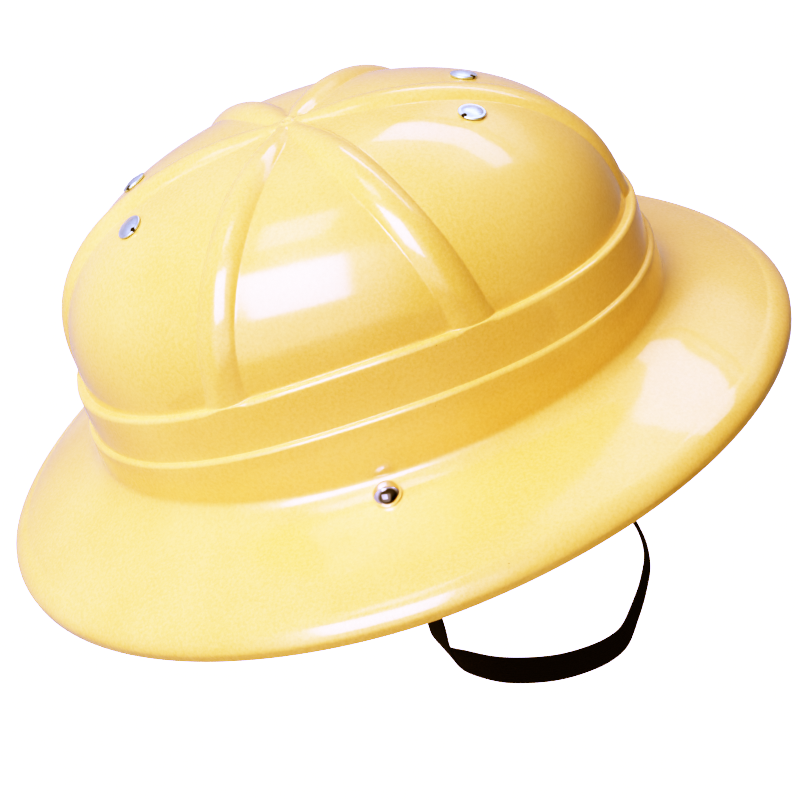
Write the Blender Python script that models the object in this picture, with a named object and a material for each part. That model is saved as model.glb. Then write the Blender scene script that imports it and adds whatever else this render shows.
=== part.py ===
"""Pith helmet: one moulded plastic shell with ribs, band and brim, metal studs, two strap rivets and an elastic chin strap.

Frame: metres, +Z up, front of the helmet towards -Y, its left and right along X.
The origin is the middle of the head opening, level with the foot of the band.
"""

import math

import bmesh
import bpy
from mathutils import Matrix, Vector

MM = 0.001

# ---- shell, driving sizes in millimetres ----
WALL = 1.5  # moulded wall
BAND_HALF_LENGTH = 118.5  # foot of the band, half of its length along Y
BAND_HALF_WIDTH = 93.4  # and half of its width along X
PLAN_POWER = 2.05  # 2 is a plain ellipse
BRIM_PLAN_POWER = 1.91
LEDGE_2_Z, LEDGE_2_TILT, LEDGE_2_ARCH = 19.2, 1.6, 4.7  # lower ledge: height, rise to the back, rise over the sides
LEDGE_1_Z, LEDGE_1_TILT, LEDGE_1_ARCH = 39.0, 1.9, 6.0  # upper ledge
LEDGE_2_WIDTH, LEDGE_1_WIDTH = 2.2, 3.0
LEDGE_ROUND = 1.4
APEX_Z = 104.0
APEX_SHIFT = -0.8  # the top sits a little to the front
CROWN_SKEW = -1.3
CROWN_POWER = 2.36  # fullness of the crown's profile
CROWN_END_INSET = 1.2  # the crown starts this much further in at the front and back
BRIM_HALF_LENGTH, BRIM_HALF_WIDTH = 165.0, 155.7
BRIM_SHIFT = -2.4  # middle of the brim along Y
BRIM_Z, BRIM_TILT, BRIM_ARCH = -22.7, 2.9, 3.7  # middle of the lip
FOOT_FILLET, FOOT_REACH = 5.0, 0.10  # extra drop beside the band, and how far out it fades
LIP_HEIGHT = 11.0  # the brim rolls down into its lip
LIP_ROLL = 7.5  # how far in the roll starts

# ---- ribs and hub ----
SIDE_RIB_FOOT, SIDE_RIB_TOP = 30.3, 27.0  # degrees from the X axis, at the ledge and from midway up
SIDE_RIB_TURN = 0.6  # station where the side ribs stop turning
RIB_WIDTH = 15.5
RIB_NARROWING = 12.0  # they narrow only this near to the hub
RIB_RELIEF = 3.2
RIB_FOOT_RELIEF = 2.0
HUB_RADIUS, HUB_RELIEF = 3.0, 0.7

# ---- crown studs ----
STUD_ANGLE_FRONT, STUD_ANGLE_BACK = 16.5, 15.0  # degrees to either side of the front and back ribs
STUD_STATION = 0.60  # how far up the crown's profile
STUD_RADIUS, STUD_DOME, STUD_RIM = 5.3, 1.0, 0.5
STUD_SHANK, STUD_TAIL_RADIUS, STUD_TAIL = 1.9, 4.0, 0.7

# ---- strap rivets and washers ----
RIVET_OUT = 6.4  # outwards from the foot of the band
RIVET_SHIFT = -2.7  # a little to the front of the middle
RIVET_RADIUS, RIVET_DOME, RIVET_RIM = 5.5, 3.5, 0.6
RIVET_SHANK, RIVET_TAIL_RADIUS, RIVET_TAIL = 2.0, 3.1, 0.8
SEAT_RADIUS = 5.9
WASHER_RADIUS, WASHER_THICKNESS = 4.6, 0.8
GAP = 0.3
TAB_GAP = 0.8  # the wall's underside is curved where the strap's flat end lies
HOLE_CLEARANCE = 0.35

# ---- chin strap ----
STRAP_WIDTH, STRAP_THICKNESS = 10.8, 1.2
STRAP_STATIONS = 72

# Route of the strap's middle line between its two end tabs, in millimetres, with the direction of its width.
STRAP_ROUTE = (
    # x, y, z, width_x, width_y, width_z
    (109.8, -2.6, -36.0, 0.45, 0.89, 0.00),
    (109.0, -2.2, -57.5, 0.80, 0.60, -0.02),
    (105.6, -3.2, -69.5, 0.83, 0.50, -0.20),
    (98.5, -2.2, -82.5, 0.80, 0.35, -0.45),
    (87.0, 1.5, -96.5, 0.70, 0.15, -0.70),
    (68.0, 8.9, -118.0, 0.58, 0.03, -0.81),
    (50.0, 18.1, -136.4, 0.50, -0.03, -0.86),
    (33.0, 28.6, -152.3, 0.47, -0.06, -0.88),
    (16.0, 39.6, -165.6, 0.40, -0.08, -0.91),
    (2.0, 49.1, -174.4, 0.30, -0.08, -0.95),
    (-8.0, 56.2, -177.6, 0.14, -0.06, -0.98),
    (-20.0, 63.2, -176.0, -0.10, -0.04, -0.99),
    (-32.0, 70.0, -172.4, -0.25, -0.03, -0.97),
    (-45.0, 75.2, -167.4, -0.30, 0.02, -0.95),
    (-59.0, 75.0, -160.0, -0.36, 0.18, -0.90),
    (-76.0, 66.0, -141.0, -0.46, 0.50, -0.70),
    (-92.0, 46.5, -107.0, -0.50, 0.78, -0.30),
    (-104.0, 22.0, -66.0, -0.40, 0.90, -0.10),
    (-109.4, 4.0, -38.0, -0.20, 0.97, 0.00),
)

# ---- mesh fineness ----
RIB_STEPS = 4
PANEL_STEPS = 6
CROWN_RINGS = 9


def clear_scene():
    for obj in list(bpy.data.objects):
        bpy.data.objects.remove(obj, do_unlink=True)


def material(name, color, roughness, metallic=0.0):
    made = bpy.data.materials.new(name)
    made.use_nodes = True
    shader = made.node_tree.nodes["Principled BSDF"]
    shader.inputs["Base Color"].default_value = (*color, 1.0)
    shader.inputs["Roughness"].default_value = roughness
    shader.inputs["Metallic"].default_value = metallic
    made.diffuse_color = (*color, 1.0)
    return made


def add_object(name, mesh_builder, made_of):
    mesh = bpy.data.meshes.new(name)
    mesh_builder.normal_update()
    mesh_builder.to_mesh(mesh)
    mesh_builder.free()
    obj = bpy.data.objects.new(name, mesh)
    bpy.context.scene.collection.objects.link(obj)
    mesh.materials.append(made_of)
    mesh.shade_smooth()
    mesh.set_sharp_from_angle(angle=math.radians(35))
    return obj


# ---------------------------------------------------------------- plan and profile


def plan(angle, half_length, half_width, power=PLAN_POWER):
    """Point of the oval plan outline at this angle, in radians from +X."""
    c, s = math.cos(angle), math.sin(angle)
    r = (abs(c / half_width) ** power + abs(s / half_length) ** power) ** (-1 / power)
    return r * c, r * s


def level(angle, height, tilt, arch):
    return height + tilt * math.sin(angle) + arch * math.cos(2 * angle)


def band_point(angle, inset, z):
    x, y = plan(angle, BAND_HALF_LENGTH - inset, BAND_HALF_WIDTH - inset)
    return Vector((x, y, z))


def ledge_2(angle):
    return level(angle, LEDGE_2_Z, LEDGE_2_TILT, LEDGE_2_ARCH)


def ledge_1(angle):
    return level(angle, LEDGE_1_Z, LEDGE_1_TILT, LEDGE_1_ARCH)


def lip_level(angle):
    return level(angle, BRIM_Z, BRIM_TILT, BRIM_ARCH)


def brim_point(angle, share, rise=0.0):
    """Top of the brim: share 0 at the band's foot, 1 at the lip."""
    x0, y0 = plan(angle, BAND_HALF_LENGTH, BAND_HALF_WIDTH)
    x1, y1 = plan(angle, BRIM_HALF_LENGTH - LIP_ROLL, BRIM_HALF_WIDTH - LIP_ROLL, BRIM_PLAN_POWER)
    y1 += BRIM_SHIFT
    fall = -(lip_level(angle) + LIP_HEIGHT / 2 - 0.3)
    fillet = FOOT_FILLET * (1 - math.exp(-share / FOOT_REACH))
    slope = (fall - FOOT_FILLET) * (0.85 * share + 0.15 * share**4)
    return Vector((x0 + share * (x1 - x0), y0 + share * (y1 - y0), rise - fillet - slope))


def crown_base(angle, station):
    """The crown without its ribs: station 0 at the upper ledge, 1 at the apex."""
    foot_inset = LEDGE_2_WIDTH + LEDGE_1_WIDTH
    phi = station * math.pi / 2
    reach = max(math.cos(phi), 0.0) ** (2 / CROWN_POWER)
    height = math.sin(phi) ** (2 / CROWN_POWER) if phi > 0 else 0.0
    x, y = plan(angle, BAND_HALF_LENGTH - foot_inset - CROWN_END_INSET, BAND_HALF_WIDTH - foot_inset)
    z0 = ledge_1(angle)
    return Vector(
        (
            reach * x,
            reach * y + APEX_SHIFT * (1 - reach) + CROWN_SKEW * 4 * height * (1 - height),
            z0 + (APEX_Z - z0) * height,
        )
    )


def crown_normal(angle, station):
    step = 0.004
    low, high = max(station - step, 0.0), min(station + step, 0.9995)
    along = crown_base(angle, high) - crown_base(angle, low)
    around = crown_base(angle + step, station) - crown_base(angle - step, station)
    normal = around.cross(along)
    return normal.normalized() if normal.length > 1e-9 else Vector((0, 0, 1))


def rib_angles(station):
    """Middle lines of the six ribs at this station, in degrees round the plan, front rib first."""
    low = 1 - min(station / SIDE_RIB_TURN, 1.0)
    side = SIDE_RIB_TOP + (SIDE_RIB_FOOT - SIDE_RIB_TOP) * low**1.5
    return (-90.0, -side, side, 90.0, 180.0 - side, 180.0 + side)


def rib_width(radius):
    return RIB_WIDTH * (1 - math.exp(-max(radius, 0.5) / RIB_NARROWING))


def rib_shape(offset, width):
    """Height share of a rib's rounded section at this distance from its middle line."""
    across = min(abs(2 * offset / width), 1.0)
    return (1 - across**2.3) ** 0.8


def crown_columns(station):
    """Angles round one ring of the crown, closer together over the ribs, with each one's rib height share."""
    columns = []
    angles = rib_angles(station)
    count = len(angles)
    for i, degrees in enumerate(angles):
        middle = math.radians(degrees)
        following = math.radians(angles[(i + 1) % count] + (360.0 if i + 1 == count else 0.0))
        half, next_half = (rib_half_angle(a, station) for a in (middle, following))
        for j in range(RIB_STEPS):
            share = -1 + 2 * j / RIB_STEPS
            columns.append((middle + share * half, rib_shape(share, 2.0)))
        start, end = middle + half, following - next_half
        for j in range(PANEL_STEPS):
            columns.append((start + (end - start) * j / PANEL_STEPS, 0.0))
    return columns


def rib_half_angle(angle, station):
    point = crown_base(angle, station)
    radius = math.hypot(point.x, point.y - APEX_SHIFT)
    width = rib_width(radius)
    return min(math.asin(min(width / 2 / max(radius, 0.1), 0.5)), math.radians(26))


def relief_at(share, station, radius):
    rising = min(station / 0.5, 1.0) ** 0.7
    height = RIB_FOOT_RELIEF + (RIB_RELIEF - RIB_FOOT_RELIEF) * rising
    height *= 0.35 + 0.65 * min(radius / 30.0, 1.0)
    hub = HUB_RELIEF * max(0.0, min(1.0, HUB_RADIUS + 1.0 - radius))
    merge = max(0.0, min(1.0, (14.0 - radius) / 9.0))
    return height * max(share, merge) + hub


def shell_column(index, rings):
    """Outer and inner points of one column of the shell, from the lip up to the ring below the apex."""
    angle, share = rings[0][index]
    outer, inner = [], []

    def put(a, b):
        outer.append(a)
        inner.append(b)

    # Lip, from its lower edge up: the inner point is the wall's other side.
    x, y = plan(angle, BRIM_HALF_LENGTH, BRIM_HALF_WIDTH, BRIM_PLAN_POWER)
    out = Vector((x, y, 0)).normalized()
    edge = Vector((x, y + BRIM_SHIFT, lip_level(angle)))
    half = LIP_HEIGHT / 2
    for inset, height, inner_inset, inner_height in (
        (0.5, -half, WALL + 0.5, -half),
        (0.0, -2.2, WALL, -2.4),
        (0.44, -0.3, WALL + 0.35, -0.8),
        (1.6, 1.5, WALL + 1.2, 0.4),
        (3.35, 3.1, WALL + 2.6, 1.8),
        (5.4, 4.4, WALL + 4.3, 2.9),
    ):
        put(edge - inset * out + Vector((0, 0, height)), edge - inner_inset * out + Vector((0, 0, inner_height)))
    for brim_share in (1.0, 0.92, 0.7, 0.45, 0.27, 0.15, 0.07, 0.03):
        top = brim_point(angle, brim_share)
        slope = (brim_point(angle, brim_share) - brim_point(angle, brim_share - 0.02)).normalized()
        side = Vector((-out.y, out.x, 0))
        normal = side.cross(slope)
        if normal.z < 0:
            normal = -normal
        below = top - WALL * normal
        if brim_share < 0.1:
            below = brim_point(angle, brim_share) - Vector((0, 0, WALL * 1.25)) - 0.6 * out
        put(top, below)
    # Lower band wall and its ledge.
    z2, z1 = ledge_2(angle), ledge_1(angle)
    w2 = LEDGE_2_WIDTH
    r = LEDGE_ROUND
    put(band_point(angle, 0.05, 0.9), band_point(angle, WALL, -0.6))
    put(band_point(angle, 0.0, z2 - r), band_point(angle, WALL, z2 - WALL - 1.0))
    put(band_point(angle, 0.3 * r, z2 - 0.3 * r), band_point(angle, WALL + 0.15, z2 - WALL - 0.15))
    put(band_point(angle, 0.85 * r, z2), band_point(angle, WALL + 0.8, z2 - WALL))
    put(band_point(angle, w2 - 0.4, z2 + 0.05), band_point(angle, WALL + w2 - 0.5, z2 - WALL))
    put(band_point(angle, w2, z2 + 0.8), band_point(angle, WALL + w2, z2 - WALL + 0.8))
    # Upper band wall and its ledge, which the rib's foot nearly covers.
    w1 = LEDGE_1_WIDTH - RIB_FOOT_RELIEF * share
    r = min(LEDGE_ROUND, 0.62 * w1)
    put(band_point(angle, w2, z1 - r), band_point(angle, w2 + WALL, z1 - WALL - 1.0))
    put(band_point(angle, w2 + 0.3 * r, z1 - 0.3 * r), band_point(angle, w2 + WALL + 0.15, z1 - WALL - 0.15))
    put(band_point(angle, w2 + 0.85 * r, z1), band_point(angle, w2 + WALL + 0.3 * w1, z1 - WALL))
    put(band_point(angle, w2 + w1 - 0.12 * w1, z1 + 0.05), band_point(angle, w2 + WALL + 0.8 * w1, z1 - WALL + 0.05))
    # Crown, a ring at a time, with the ribs raised along the surface's normal.
    for ring, station in zip(rings, ring_stations()):
        ring_angle, ring_share = ring[index]
        base = crown_base(ring_angle, station)
        normal = crown_normal(ring_angle, station)
        radius = math.hypot(base.x, base.y - APEX_SHIFT)
        rise = relief_at(ring_share, station, radius)
        put(base + rise * normal, base + (rise - WALL) * normal)
    return outer, inner


def ring_stations():
    """Stations of the crown's rings: even along the profile, then closer in round the hub."""
    even = [0.012 + 0.888 * i / (CROWN_RINGS - 1) for i in range(CROWN_RINGS)]
    return even + [0.94, 0.966, 0.983, 0.9915]


def build_shell(made_of):
    rings = [crown_columns(station) for station in ring_stations()]
    count = len(rings[0])
    builder = bmesh.new()
    outer, inner = [], []
    for index in range(count):
        a, b = shell_column(index, rings)
        outer.append([builder.verts.new(p * MM) for p in a])
        inner.append([builder.verts.new(p * MM) for p in b])
    top = relief_at(1.0, 1.0, 0.0)
    apex = Vector((0, APEX_SHIFT, APEX_Z + top + 0.25))
    apex_out = builder.verts.new(apex * MM)
    apex_in = builder.verts.new((apex - Vector((0, 0, WALL + 0.25))) * MM)
    last = len(outer[0]) - 1
    for i in range(count):
        k = (i + 1) % count
        for j in range(last):
            builder.faces.new((outer[i][j], outer[k][j], outer[k][j + 1], outer[i][j + 1]))
            builder.faces.new((inner[i][j], inner[i][j + 1], inner[k][j + 1], inner[k][j]))
        builder.faces.new((outer[i][last], outer[k][last], apex_out))
        builder.faces.new((inner[i][last], apex_in, inner[k][last]))
        builder.faces.new((outer[i][0], inner[i][0], inner[k][0], outer[k][0]))
    return add_object("shell", builder, made_of)


# ---------------------------------------------------------------- turned metal pieces


def turned(name, profile, place, made_of, segments=20):
    """A closed solid turned about Z through (radius, z) points, bottom to top, then set in place."""
    builder = bmesh.new()
    rings = []
    for radius, z in profile:
        if radius < 1e-6:
            rings.append([builder.verts.new((0, 0, z * MM))])
        else:
            rings.append(
                [
                    builder.verts.new(
                        (
                            radius * MM * math.cos(2 * math.pi * i / segments),
                            radius * MM * math.sin(2 * math.pi * i / segments),
                            z * MM,
                        )
                    )
                    for i in range(segments)
                ]
            )
    for low, high in zip(rings, rings[1:]):
        for i in range(segments):
            k = (i + 1) % segments
            if len(low) == 1:
                builder.faces.new((low[0], high[k], high[i]))
            elif len(high) == 1:
                builder.faces.new((low[i], low[k], high[0]))
            else:
                builder.faces.new((low[i], low[k], high[k], high[i]))
    if len(rings[0]) > 1 and len(rings[-1]) > 1:  # a plain ring: close its bore
        low, high = rings[-1], rings[0]
        for i in range(segments):
            k = (i + 1) % segments
            builder.faces.new((low[i], low[k], high[k], high[i]))
    bmesh.ops.transform(builder, matrix=place, verts=builder.verts)
    return add_object(name, builder, made_of)


def placed(point, axis):
    """Matrix that puts a turned piece's Z along this axis, at this point in millimetres."""
    axis = axis.normalized()
    across = Vector((0, 1, 0)) if abs(axis.y) < 0.9 else Vector((1, 0, 0))
    across = (across - across.dot(axis) * axis).normalized()
    other = axis.cross(across)
    return Matrix.Translation(point * MM) @ Matrix((across, other, axis)).transposed().to_4x4()


def dome_profile(radius, height, base, steps):
    """(radius, z) points of a spherical dome standing on a plane at base, from its edge to its top."""
    ball = (radius**2 + height**2) / (2 * height)
    sweep = math.asin(min(radius / ball, 1.0))
    if height > radius:
        sweep = math.pi - sweep
    points = []
    for i in range(steps + 1):
        turn = sweep * (1 - i / steps)
        points.append((ball * math.sin(turn), base + height - ball * (1 - math.cos(turn))))
    points[-1] = (0.0, base + height)
    return points


def stud_places():
    for side, sign_x in (("left", 1), ("right", -1)):
        for end, sign_y, turn in (("front", -1, STUD_ANGLE_FRONT), ("back", 1, STUD_ANGLE_BACK)):
            angle = math.atan2(sign_y, 0) - sign_y * sign_x * math.radians(turn)
            seat = crown_base(angle, STUD_STATION)
            yield f"crown_stud_{end}_{side}", seat, crown_normal(angle, STUD_STATION)


def rivet_seat(sign_x):
    """Seat point and outward axis of the strap rivet on this side."""
    angle = 0.0 if sign_x > 0 else math.pi
    foot = brim_point(angle, 0.0)
    edge = brim_point(angle, 1.0)
    run = math.hypot(edge.x - foot.x, edge.y - foot.y)
    share = RIVET_OUT / run
    seat = brim_point(angle, share)
    seat.y = RIVET_SHIFT
    slope = (brim_point(angle, share + 0.05) - brim_point(angle, share - 0.05)).normalized()
    slope.y = 0.0
    slope.normalize()
    axis = Vector((0, sign_x, 0)).cross(slope)
    if axis.z < 0:
        axis = -axis
    return seat, axis.normalized(), slope


def cut(target, cutter):
    cutter.hide_render = True
    cutter.display_type = "WIRE"
    hole = target.modifiers.new("cut_" + cutter.name, "BOOLEAN")
    hole.operation = "DIFFERENCE"
    hole.object = cutter
    hole.solver = "EXACT"


def build_studs(shell, made_of):
    floor = GAP + STUD_RADIUS**2 / (2 * 80.0)  # clear of the crown's curve under the head
    for name, seat, axis in stud_places():
        head = [(STUD_RADIUS - 0.25, floor), (STUD_RADIUS, floor + 0.25), (STUD_RADIUS, floor + STUD_RIM)]
        head += dome_profile(STUD_RADIUS - 0.5, STUD_DOME, floor + STUD_RIM + 0.1, 3)
        low = -WALL - GAP - 0.25
        tail = [
            (0.0, low - STUD_TAIL),
            (STUD_TAIL_RADIUS - 0.3, low - STUD_TAIL),
            (STUD_TAIL_RADIUS, low - STUD_TAIL + 0.3),
            (STUD_TAIL_RADIUS, low),
            (STUD_SHANK, low),
            (STUD_SHANK, floor),
        ]
        turned(name, tail + head, placed(seat, axis), made_of)
        radius = STUD_SHANK + HOLE_CLEARANCE
        hole = [(0.0, -6.0), (radius, -6.0), (radius, 6.0), (0.0, 6.0)]
        cut(shell, turned("hole_" + name, hole, placed(seat, axis), made_of, 16))


def rivet_stack():
    """Heights along a rivet's axis, from its seat plane: head, strap tab, washer, tail."""
    head = 0.35 + GAP
    tab_top = -WALL - TAB_GAP
    tab_middle = tab_top - STRAP_THICKNESS / 2
    washer_top = tab_top - STRAP_THICKNESS - GAP
    tail_top = washer_top - WASHER_THICKNESS - GAP
    return head, tab_middle, washer_top, tail_top


def build_rivets(shell, strap, made_of, washer_material):
    head, _, washer_top, tail_top = rivet_stack()
    for side, sign_x in (("left", 1), ("right", -1)):
        seat, axis, _ = rivet_seat(sign_x)
        place = placed(seat, axis)
        profile = [
            (0.0, tail_top - RIVET_TAIL),
            (RIVET_TAIL_RADIUS - 0.4, tail_top - RIVET_TAIL),
            (RIVET_TAIL_RADIUS, tail_top - RIVET_TAIL + 0.4),
            (RIVET_TAIL_RADIUS, tail_top),
            (RIVET_SHANK, tail_top),
            (RIVET_SHANK, head),
            (RIVET_RADIUS - 0.2, head),
            (RIVET_RADIUS, head + 0.2),
            (RIVET_RADIUS, head + RIVET_RIM),
        ] + dome_profile(RIVET_RADIUS - 0.15, RIVET_DOME, head + RIVET_RIM + 0.1, 5)
        turned(f"strap_rivet_{side}", profile, place, made_of, 24)
        bore = RIVET_SHANK + HOLE_CLEARANCE
        low = washer_top - WASHER_THICKNESS
        washer = [(bore, low), (WASHER_RADIUS, low), (WASHER_RADIUS, washer_top), (bore, washer_top)]
        turned(f"rivet_washer_{side}", washer, place, washer_material, 20)
        hole = [(0.0, -12.0), (bore, -12.0), (bore, 6.0), (0.0, 6.0)]
        cutter = turned(f"hole_rivet_{side}", hole, place, made_of, 16)
        cut(shell, cutter)
        cut(strap, cutter)
        flat = [(0.0, 0.35), (SEAT_RADIUS, 0.35), (SEAT_RADIUS, 5.0), (0.0, 5.0)]
        cut(shell, turned(f"seat_rivet_{side}", flat, place, made_of, 24))


# ---------------------------------------------------------------- chin strap


def strap_rows():
    """(point, width direction) rows of the whole strap: a tab under each rivet and the route between."""
    _, middle, _, _ = rivet_stack()
    rows = []
    ends = []
    for sign_x in (1, -1):
        seat, axis, slope = rivet_seat(sign_x)
        at = seat + middle * axis
        wide = Vector((0, 1, 0))
        tab = [(at + along * slope, wide) for along in (-5.4, -2.0, 1.5, 4.0, 6.8)]
        bend = at + 10.4 * slope - 2.0 * axis
        drop = Vector((bend.x + sign_x * 1.6, RIVET_SHIFT, bend.z - 5.0))
        ends.append(tab + [(bend, wide), (drop, wide)])
    rows += ends[0]
    rows += [(Vector(row[:3]), Vector(row[3:]).normalized()) for row in STRAP_ROUTE]
    rows += [row for row in reversed(ends[1])]
    return rows


def smooth_rows(rows, stations):
    """Evenly spaced rows along a smooth curve through the given ones."""
    fine = []
    for i in range(len(rows) - 1):
        p0 = rows[max(i - 1, 0)]
        p1, p2 = rows[i], rows[i + 1]
        p3 = rows[min(i + 2, len(rows) - 1)]
        span = (p2[0] - p1[0]).length
        before = max((p1[0] - p0[0]).length, 1e-6)
        after = max((p3[0] - p2[0]).length, 1e-6)
        for step in range(24):
            t = step / 24
            made = []
            for part in (0, 1):
                a, b = p1[part], p2[part]
                into = (b - p0[part]) * span / (span + before) if i > 0 else b - a
                outof = (p3[part] - a) * span / (span + after) if i < len(rows) - 2 else b - a
                h1 = 2 * t**3 - 3 * t**2 + 1
                h2 = -2 * t**3 + 3 * t**2
                h3 = t**3 - 2 * t**2 + t
                h4 = t**3 - t**2
                made.append(h1 * a + h2 * b + h3 * into + h4 * outof)
            fine.append((made[0], made[1].normalized()))
    fine.append(rows[-1])
    lengths = [0.0]
    for a, b in zip(fine, fine[1:]):
        lengths.append(lengths[-1] + (b[0] - a[0]).length)
    rows_out = []
    j = 0
    for i in range(stations):
        want = lengths[-1] * i / (stations - 1)
        while j < len(fine) - 2 and lengths[j + 1] < want:
            j += 1
        share = (want - lengths[j]) / max(lengths[j + 1] - lengths[j], 1e-9)
        share = max(0.0, min(1.0, share))
        point = fine[j][0].lerp(fine[j + 1][0], share)
        wide = fine[j][1].lerp(fine[j + 1][1], share).normalized()
        rows_out.append((point, wide))
    return rows_out, lengths[-1]


def build_strap(made_of):
    rows, _ = smooth_rows(strap_rows(), STRAP_STATIONS)
    builder = bmesh.new()
    rings = []
    for i, (point, wide) in enumerate(rows):
        ahead = rows[min(i + 1, len(rows) - 1)][0] - rows[max(i - 1, 0)][0]
        ahead.normalize()
        across = (wide - wide.dot(ahead) * ahead).normalized()
        thick = ahead.cross(across)
        w, t = STRAP_WIDTH / 2, STRAP_THICKNESS / 2
        corners = ((w, t), (-w, t), (-w, -t), (w, -t))
        rings.append([builder.verts.new((point + a * across + b * thick) * MM) for a, b in corners])
    for low, high in zip(rings, rings[1:]):
        for i in range(4):
            k = (i + 1) % 4
            builder.faces.new((low[i], low[k], high[k], high[i]))
    builder.faces.new(tuple(reversed(rings[0])))
    builder.faces.new(tuple(rings[-1]))
    bmesh.ops.recalc_face_normals(builder, faces=builder.faces)
    return add_object("chin_strap", builder, made_of)


def main():
    clear_scene()
    plastic = material("tan_plastic", (0.87, 0.66, 0.28), 0.22)
    chrome = material("chrome", (0.80, 0.80, 0.82), 0.08, 1.0)
    steel = material("stud_steel", (0.66, 0.72, 0.80), 0.20, 1.0)
    plain_steel = material("washer_steel", (0.60, 0.60, 0.62), 0.35, 1.0)
    elastic = material("black_elastic", (0.012, 0.012, 0.012), 0.80)
    shell = build_shell(plastic)
    strap = build_strap(elastic)
    build_studs(shell, steel)
    build_rivets(shell, strap, chrome, plain_steel)


main()
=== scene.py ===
"""Looks of the glossy moulded pith helmet: fine shell, studs, rivets, washers and woven elastic strap."""
import math

import bpy
import numpy as np
from mathutils import Matrix, Vector


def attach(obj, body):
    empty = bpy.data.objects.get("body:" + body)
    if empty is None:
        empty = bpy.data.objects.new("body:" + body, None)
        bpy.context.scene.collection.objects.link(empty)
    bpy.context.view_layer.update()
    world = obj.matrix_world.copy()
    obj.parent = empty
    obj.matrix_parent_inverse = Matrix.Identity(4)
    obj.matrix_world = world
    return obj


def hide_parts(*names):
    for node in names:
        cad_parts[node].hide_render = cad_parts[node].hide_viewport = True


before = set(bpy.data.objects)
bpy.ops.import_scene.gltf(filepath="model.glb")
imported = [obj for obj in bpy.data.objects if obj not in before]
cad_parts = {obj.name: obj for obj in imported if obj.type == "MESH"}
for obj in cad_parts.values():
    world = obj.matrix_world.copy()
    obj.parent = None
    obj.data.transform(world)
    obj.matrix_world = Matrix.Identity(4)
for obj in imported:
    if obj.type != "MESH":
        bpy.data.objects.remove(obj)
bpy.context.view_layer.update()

MM = 0.001
PI = math.pi

# ---- the shell's driving sizes in millimetres, the same as the CAD's ----
WALL = 1.5
BAND_L, BAND_W, PLAN_POWER = 118.5, 93.4, 2.05
LEDGE_2 = (19.2, 1.6, 4.7)
LEDGE_1 = (39.0, 1.9, 6.0)
W2, W1 = 2.2, 3.0
APEX_Z, APEX_SHIFT = 104.0, -0.8
CROWN_SKEW, CROWN_POWER, END_INSET = -1.3, 2.36, 1.2
BRIM_L, BRIM_W, BRIM_SHIFT, BRIM_POWER = 165.0, 155.7, -2.4, 1.91
BRIM_LEVEL = (-22.7, 2.9, 3.7)
FOOT_FILLET, FOOT_REACH = 5.0, 0.10
LIP_HEIGHT, LIP_ROLL = 11.0, 7.5
RIB_W, RIB_NARROW, RIB_H, RIB_FOOT_H = 15.5, 12.0, 3.2, 2.0
STUD_ANGLES = {"front": 16.5, "back": 15.0}
STUD_STATION, STUD_R = 0.60, 5.3
# angles round each stud where its painted shade spot sits
STUD_SHADE_SPOT_ANGLES = {"front": -63.5, "back": -138.7}
RIVET_OUT, RIVET_SHIFT, RIVET_R, RIVET_DOME = 6.4, -2.7, 5.5, 3.5
GAP, TAB_GAP = 0.3, 0.8
STRAP_W, STRAP_T = 10.8, 1.2


# ------------------------------------------------------------------ surfaces


def plan(a, half_l, half_w, power=PLAN_POWER):
    c, s = np.cos(a), np.sin(a)
    r = (np.abs(c / half_w) ** power + np.abs(s / half_l) ** power) ** (-1 / power)
    return r * c, r * s


def level(a, row):
    return row[0] + row[1] * np.sin(a) + row[2] * np.cos(2 * a)


def crown_base(a, phi):
    reach = np.maximum(np.cos(phi), 0) ** (2 / CROWN_POWER)
    height = np.sin(phi) ** (2 / CROWN_POWER)
    x, y = plan(a, BAND_L - W1 - W2 - END_INSET, BAND_W - W1 - W2)
    z0 = level(a, LEDGE_1)
    y = reach * y + APEX_SHIFT * (1 - reach) + CROWN_SKEW * 4 * height * (1 - height)
    return np.stack([reach * x, y, z0 + (APEX_Z - z0) * height], -1)


def unit(v):
    return v / np.maximum(np.linalg.norm(v, axis=-1, keepdims=True), 1e-12)


def crown_normal(a, phi):
    mid = np.clip(phi, 2e-3, PI / 2 - 3e-3)
    along = crown_base(a, mid + 2e-3) - crown_base(a, mid - 2e-3)
    around = crown_base(a + 2e-3, mid) - crown_base(a - 2e-3, mid)
    return unit(np.cross(around, along))


def step(t):
    t = np.clip(t, 0, 1)
    return t * t * (3 - 2 * t)


def soft_floor(h, size):
    return 0.5 * (h + np.sqrt(h * h + size * size))


def rib_middles(phi):
    low = 1 - np.minimum(phi / (PI / 2) / 0.6, 1.0)
    side = np.radians(27.0 + 3.3 * low**1.5)
    quarter = np.full_like(side, PI / 2)
    return [-quarter, -side, side, quarter, PI - side, PI + side]


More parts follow.
